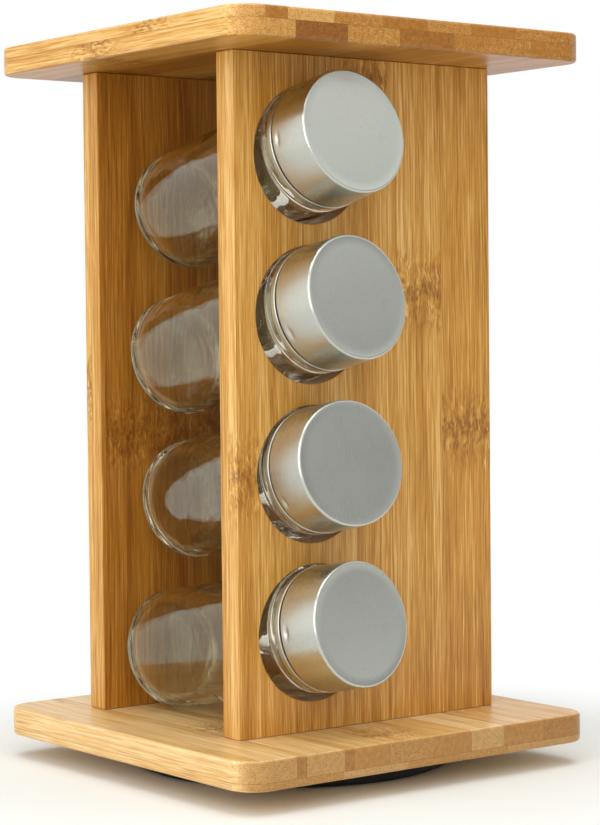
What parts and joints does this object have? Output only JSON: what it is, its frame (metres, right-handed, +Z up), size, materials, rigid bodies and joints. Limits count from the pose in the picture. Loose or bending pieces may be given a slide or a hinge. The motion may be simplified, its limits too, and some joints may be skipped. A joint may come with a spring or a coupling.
{
  "type": "spice carousel",
  "caption": "Revolving kitchen rack of square bamboo boards and upright panels on a ball-bearing turntable, with glass jars lying in round holes and steel screw lids facing out.",
  "frame": {"origin": "on the spin axis, in the plane of the grip pad's underside, where the turntable stands on a table", "axes": "+Z up along the spin axis; +X to the right along the front panel; -Y out of the front panel, towards the lids of the front jars"},
  "size_m": [0.1814, 0.1854, 0.3078],
  "materials": {
    "bamboo_plate": "satin lacquer over laminated bamboo",
    "bamboo_panel": "satin lacquer over edge-glued bamboo strips",
    "dowel_wood": "raw turned beech",
    "clear_glass": "clear moulded glass",
    "lid_steel": "satin brushed stainless sheet",
    "cap_plastic": "moulded white plastic",
    "cap_seal": "soft foamed plastic disc",
    "black_plastic": "moulded black plastic",
    "cage_plastic": "moulded natural nylon",
    "grip_rubber": "matt black rubber sheet",
    "zinc_steel": "zinc-plated steel",
    "ball_steel": "polished bearing steel"
  },
  "bodies": {
    "turntable_foot": {"grip_pad": "grip_rubber", "turntable_base": "black_plastic", "pivot_rivet": "zinc_steel"},
    "ball_ring": {"ball_cage": "cage_plastic", "bearing_balls": "ball_steel"},
    "rack": {"turntable_top": "black_plastic", "turntable_screws": "zinc_steel", "base_plate": "bamboo_plate", "top_plate": "bamboo_plate", "front_panel": "bamboo_panel", "rear_panel": "bamboo_panel", "base_dowels": "dowel_wood", "top_dowels": "dowel_wood"},
    "front_jar_1": {"front_jar_1_glass": "clear_glass"},
    "front_jar_1_cap_seal": {"front_jar_1_seal": "cap_seal"},
    "front_jar_1_cap": {"front_jar_1_liner": "cap_plastic", "front_jar_1_lid": "lid_steel"},
    "front_jar_2": {"front_jar_2_glass": "clear_glass"},
    "front_jar_2_cap_seal": {"front_jar_2_seal": "cap_seal"},
    "front_jar_2_cap": {"front_jar_2_liner": "cap_plastic", "front_jar_2_lid": "lid_steel"},
    "front_jar_3": {"front_jar_3_glass": "clear_glass"},
    "front_jar_3_cap_seal": {"front_jar_3_seal": "cap_seal"},
    "front_jar_3_cap": {"front_jar_3_liner": "cap_plastic", "front_jar_3_lid": "lid_steel"},
    "front_jar_4": {"front_jar_4_glass": "clear_glass"},
    "front_jar_4_cap_seal": {"front_jar_4_seal": "cap_seal"},
    "front_jar_4_cap": {"front_jar_4_liner": "cap_plastic", "front_jar_4_lid": "lid_steel"},
    "rear_jar_1": {"rear_jar_1_glass": "clear_glass"},
    "rear_jar_1_cap_seal": {"rear_jar_1_seal": "cap_seal"},
    "rear_jar_1_cap": {"rear_jar_1_liner": "cap_plastic", "rear_jar_1_lid": "lid_steel"},
    "rear_jar_2": {"rear_jar_2_glass": "clear_glass"},
    "rear_jar_2_cap_seal": {"rear_jar_2_seal": "cap_seal"},
    "rear_jar_2_cap": {"rear_jar_2_liner": "cap_plastic", "rear_jar_2_lid": "lid_steel"},
    "rear_jar_3": {"rear_jar_3_glass": "clear_glass"},
    "rear_jar_3_cap_seal": {"rear_jar_3_seal": "cap_seal"},
    "rear_jar_3_cap": {"rear_jar_3_liner": "cap_plastic", "rear_jar_3_lid": "lid_steel"},
    "rear_jar_4": {"rear_jar_4_glass": "clear_glass"},
    "rear_jar_4_cap_seal": {"rear_jar_4_seal": "cap_seal"},
    "rear_jar_4_cap": {"rear_jar_4_liner": "cap_plastic", "rear_jar_4_lid": "lid_steel"}
  },
  "joints": [
    {"name": "rack_spin", "type": "hinge", "parent": "turntable_foot", "child": "rack", "pos_m": [0, 0, 0.0096], "axis": [0, 0, 1], "continuous": true},
    {"name": "ball_ring_roll", "type": "hinge", "parent": "turntable_foot", "child": "ball_ring", "pos_m": [0, 0, 0.0051], "axis": [0, 0, 1], "continuous": true},
    {"name": "front_jar_1_pull_out", "type": "slide", "parent": "rack", "child": "front_jar_1", "axis": [0.0157, -0.9743, 0.2249], "range_m": [0, 0.1]},
    {"name": "front_jar_1_cap_rise", "type": "slide", "parent": "front_jar_1", "child": "front_jar_1_cap_seal", "axis": [0.0157, -0.9743, 0.2249], "range_m": [0, 0.006]},
    {"name": "front_jar_1_cap_turn", "type": "hinge", "parent": "front_jar_1_cap_seal", "child": "front_jar_1_cap", "pos_m": [-0.02575, -0.07565, 0.26279], "axis": [0.0157, -0.9743, 0.2249], "range_deg": [0, 540]},
    {"name": "front_jar_2_pull_out", "type": "slide", "parent": "rack", "child": "front_jar_2", "axis": [0.0517, -0.978, 0.2021], "range_m": [0, 0.1]},
    {"name": "front_jar_2_cap_rise", "type": "slide", "parent": "front_jar_2", "child": "front_jar_2_cap_seal", "axis": [0.0517, -0.978, 0.2021], "range_m": [0, 0.006]},
    {"name": "front_jar_2_cap_turn", "type": "hinge", "parent": "front_jar_2_cap_seal", "child": "front_jar_2_cap", "pos_m": [-0.02461, -0.07546, 0.1974], "axis": [0.0517, -0.978, 0.2021], "range_deg": [0, 540]},
    {"name": "front_jar_3_pull_out", "type": "slide", "parent": "rack", "child": "front_jar_3", "axis": [-0.0384, -0.9841, 0.1735], "range_m": [0, 0.1]},
    {"name": "front_jar_3_cap_rise", "type": "slide", "parent": "front_jar_3", "child": "front_jar_3_cap_seal", "axis": [-0.0384, -0.9841, 0.1735], "range_m": [0, 0.006]},
    {"name": "front_jar_3_cap_turn", "type": "hinge", "parent": "front_jar_3_cap_seal", "child": "front_jar_3_cap", "pos_m": [-0.02741, -0.07408, 0.13161], "axis": [-0.0384, -0.9841, 0.1735], "range_deg": [0, 540]},
    {"name": "front_jar_4_pull_out", "type": "slide", "parent": "rack", "child": "front_jar_4", "axis": [0.0904, -0.9806, 0.1739], "range_m": [0, 0.1]},
    {"name": "front_jar_4_cap_rise", "type": "slide", "parent": "front_jar_4", "child": "front_jar_4_cap_seal", "axis": [0.0904, -0.9806, 0.1739], "range_m": [0, 0.006]},
    {"name": "front_jar_4_cap_turn", "type": "hinge", "parent": "front_jar_4_cap_seal", "child": "front_jar_4_cap", "pos_m": [-0.02349, -0.07443, 0.06711], "axis": [0.0904, -0.9806, 0.1739], "range_deg": [0, 540]},
    {"name": "rear_jar_1_pull_out", "type": "slide", "parent": "rack", "child": "rear_jar_1", "axis": [-0.027, 0.9777, 0.2083], "range_m": [0, 0.1]},
    {"name": "rear_jar_1_cap_rise", "type": "slide", "parent": "rear_jar_1", "child": "rear_jar_1_cap_seal", "axis": [-0.027, 0.9777, 0.2083], "range_m": [0, 0.006]},
    {"name": "rear_jar_1_cap_turn", "type": "hinge", "parent": "rear_jar_1_cap_seal", "child": "rear_jar_1_cap", "pos_m": [0.03139, 0.08625, 0.26228], "axis": [-0.027, 0.9777, 0.2083], "range_deg": [0, 540]},
    {"name": "rear_jar_2_pull_out", "type": "slide", "parent": "rack", "child": "rear_jar_2", "axis": [0.0316, 0.9813, 0.1899], "range_m": [0, 0.1]},
    {"name": "rear_jar_2_cap_rise", "type": "slide", "parent": "rear_jar_2", "child": "rear_jar_2_cap_seal", "axis": [0.0316, 0.9813, 0.1899], "range_m": [0, 0.006]},
    {"name": "rear_jar_2_cap_turn", "type": "hinge", "parent": "rear_jar_2_cap_seal", "child": "rear_jar_2_cap", "pos_m": [0.03324, 0.08554, 0.19693], "axis": [0.0316, 0.9813, 0.1899], "range_deg": [0, 540]},
    {"name": "rear_jar_3_pull_out", "type": "slide", "parent": "rack", "child": "rear_jar_3", "axis": [-0.0112, 0.9763, 0.2162], "range_m": [0, 0.1]},
    {"name": "rear_jar_3_cap_rise", "type": "slide", "parent": "rear_jar_3", "child": "rear_jar_3_cap_seal", "axis": [-0.0112, 0.9763, 0.2162], "range_m": [0, 0.006]},
    {"name": "rear_jar_3_cap_turn", "type": "hinge", "parent": "rear_jar_3_cap_seal", "child": "rear_jar_3_cap", "pos_m": [0.03189, 0.08661, 0.13342], "axis": [-0.0112, 0.9763, 0.2162], "range_deg": [0, 540]},
    {"name": "rear_jar_4_pull_out", "type": "slide", "parent": "rack", "child": "rear_jar_4", "axis": [-0.0452, 0.9832, 0.1767], "range_m": [0, 0.1]},
    {"name": "rear_jar_4_cap_rise", "type": "slide", "parent": "rear_jar_4", "child": "rear_jar_4_cap_seal", "axis": [-0.0452, 0.9832, 0.1767], "range_m": [0, 0.006]},
    {"name": "rear_jar_4_cap_turn", "type": "hinge", "parent": "rear_jar_4_cap_seal", "child": "rear_jar_4_cap", "pos_m": [0.03081, 0.08617, 0.06742], "axis": [-0.0452, 0.9832, 0.1767], "range_deg": [0, 540]}
  ],
  "couplings": [
    {"joint": "ball_ring_roll", "follows": "rack_spin", "ratio": 0.5},
    {"joint": "front_jar_1_cap_rise", "follows": "front_jar_1_cap_turn", "m_per_rad": 0.0006366},
    {"joint": "front_jar_2_cap_rise", "follows": "front_jar_2_cap_turn", "m_per_rad": 0.0006366},
    {"joint": "front_jar_3_cap_rise", "follows": "front_jar_3_cap_turn", "m_per_rad": 0.0006366},
    {"joint": "front_jar_4_cap_rise", "follows": "front_jar_4_cap_turn", "m_per_rad": 0.0006366},
    {"joint": "rear_jar_1_cap_rise", "follows": "rear_jar_1_cap_turn", "m_per_rad": 0.0006366},
    {"joint": "rear_jar_2_cap_rise", "follows": "rear_jar_2_cap_turn", "m_per_rad": 0.0006366},
    {"joint": "rear_jar_3_cap_rise", "follows": "rear_jar_3_cap_turn", "m_per_rad": 0.0006366},
    {"joint": "rear_jar_4_cap_rise", "follows": "rear_jar_4_cap_turn", "m_per_rad": 0.0006366}
  ]
}
